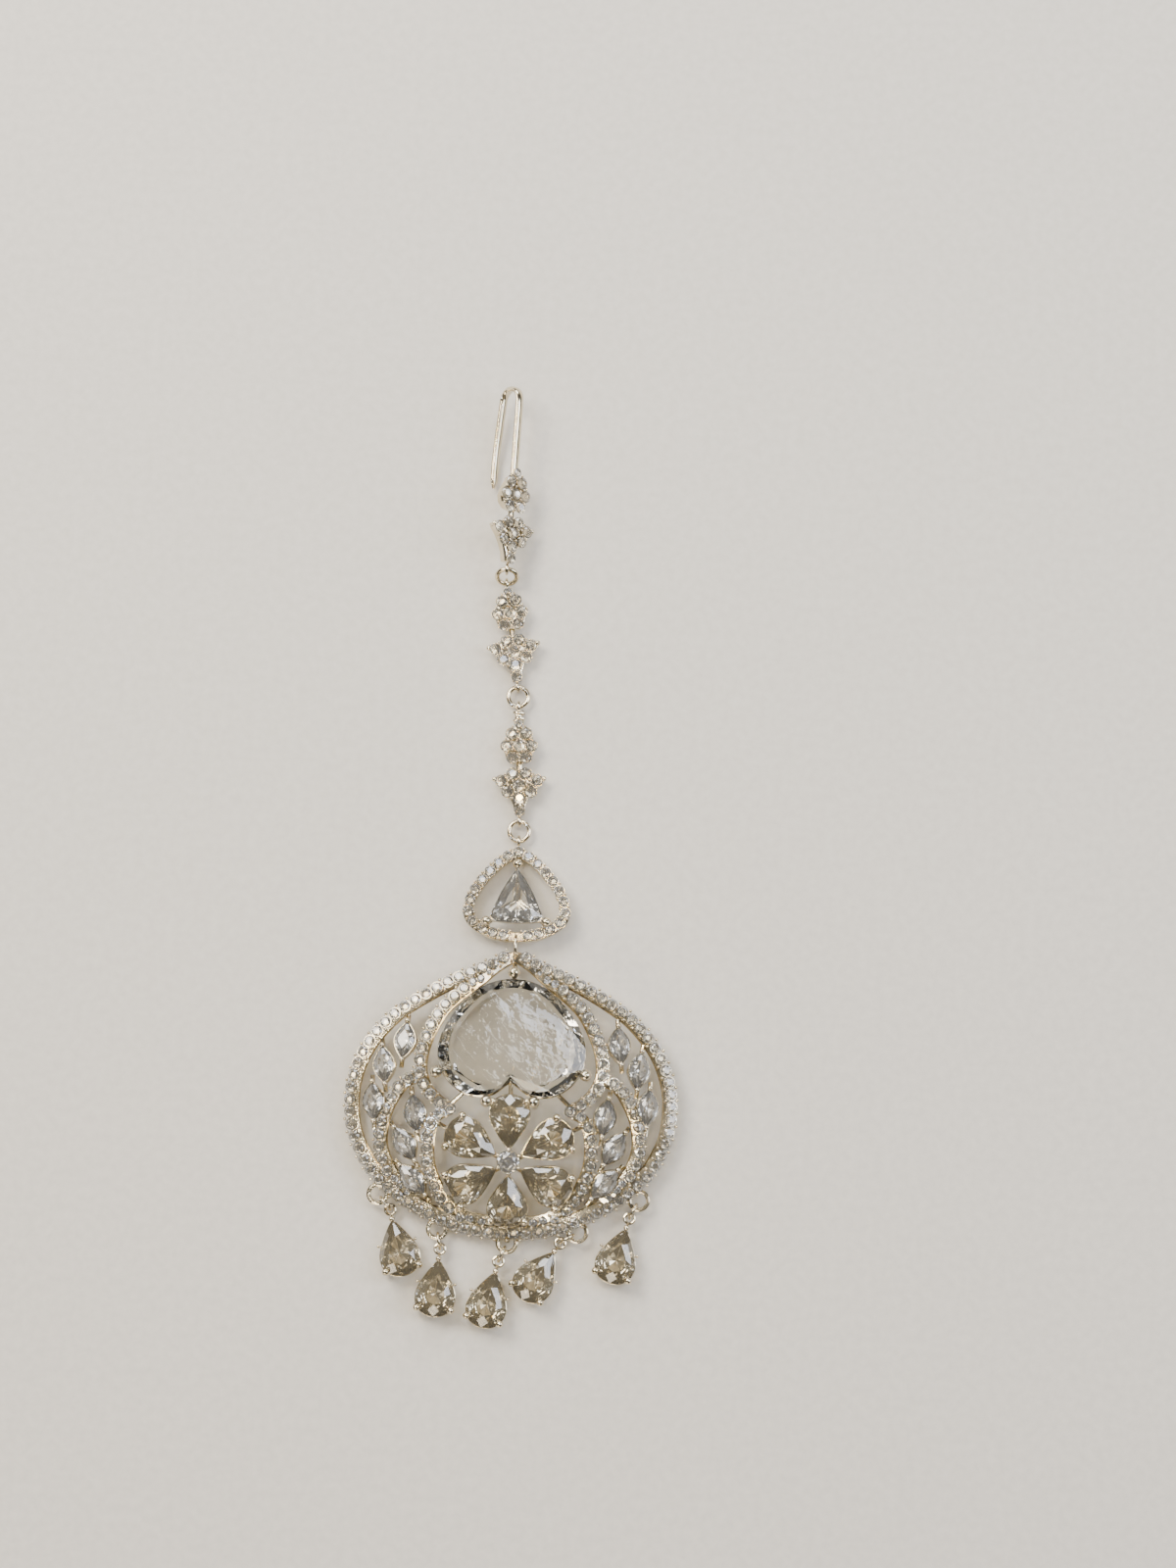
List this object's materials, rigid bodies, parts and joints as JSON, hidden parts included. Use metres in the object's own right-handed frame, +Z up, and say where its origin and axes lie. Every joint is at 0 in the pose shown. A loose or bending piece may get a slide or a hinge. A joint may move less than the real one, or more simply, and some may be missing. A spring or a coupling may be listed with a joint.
{
  "type": "maang tikka",
  "caption": "Maang tikka head jewel: hair hook, pave-set links, triangle and domed pendant with a heart stone, a flower and pear drops.",
  "frame": {"origin": "on the surface it lies on, under the middle of the whole jewel", "axes": "+Y along the jewel from the drops to the hair hook, +X to the right as seen from above, +Z up out of the face"},
  "size_m": [0.041, 0.1198, 0.008],
  "materials": {
    "rhodium_metal": "polished",
    "clear_stone": "polished, cut in facets"
  },
  "bodies": {
    "root": {"hook_link": "rhodium_metal", "link_2": "rhodium_metal", "link_3": "rhodium_metal", "ring_1": "rhodium_metal", "ring_2": "rhodium_metal", "ring_3": "rhodium_metal", "triangle_frame": "rhodium_metal", "triangle_stone": "clear_stone", "pendant_ring": "rhodium_metal", "pendant_frame": "rhodium_metal", "heart_stone": "clear_stone", "petal_stone_1": "clear_stone", "petal_stone_2": "clear_stone", "petal_stone_3": "clear_stone", "petal_stone_4": "clear_stone", "petal_stone_5": "clear_stone", "petal_stone_6": "clear_stone", "flower_centre_stone": "clear_stone", "leaf_stone_1": "clear_stone", "leaf_stone_2": "clear_stone", "leaf_stone_3": "clear_stone", "leaf_stone_4": "clear_stone", "leaf_stone_5": "clear_stone", "leaf_stone_6": "clear_stone", "leaf_stone_7": "clear_stone", "leaf_stone_8": "clear_stone", "leaf_stone_9": "clear_stone", "leaf_stone_10": "clear_stone", "leaf_stone_11": "clear_stone", "leaf_stone_12": "clear_stone", "drop_ring_1": "rhodium_metal", "drop_setting_1": "rhodium_metal", "drop_stone_1": "clear_stone", "drop_ring_2": "rhodium_metal", "drop_setting_2": "rhodium_metal", "drop_stone_2": "clear_stone", "drop_ring_3": "rhodium_metal", "drop_setting_3": "rhodium_metal", "drop_stone_3": "clear_stone", "drop_ring_4": "rhodium_metal", "drop_setting_4": "rhodium_metal", "drop_stone_4": "clear_stone", "drop_ring_5": "rhodium_metal", "drop_setting_5": "rhodium_metal", "drop_stone_5": "clear_stone"}
  },
  "joints": []
}
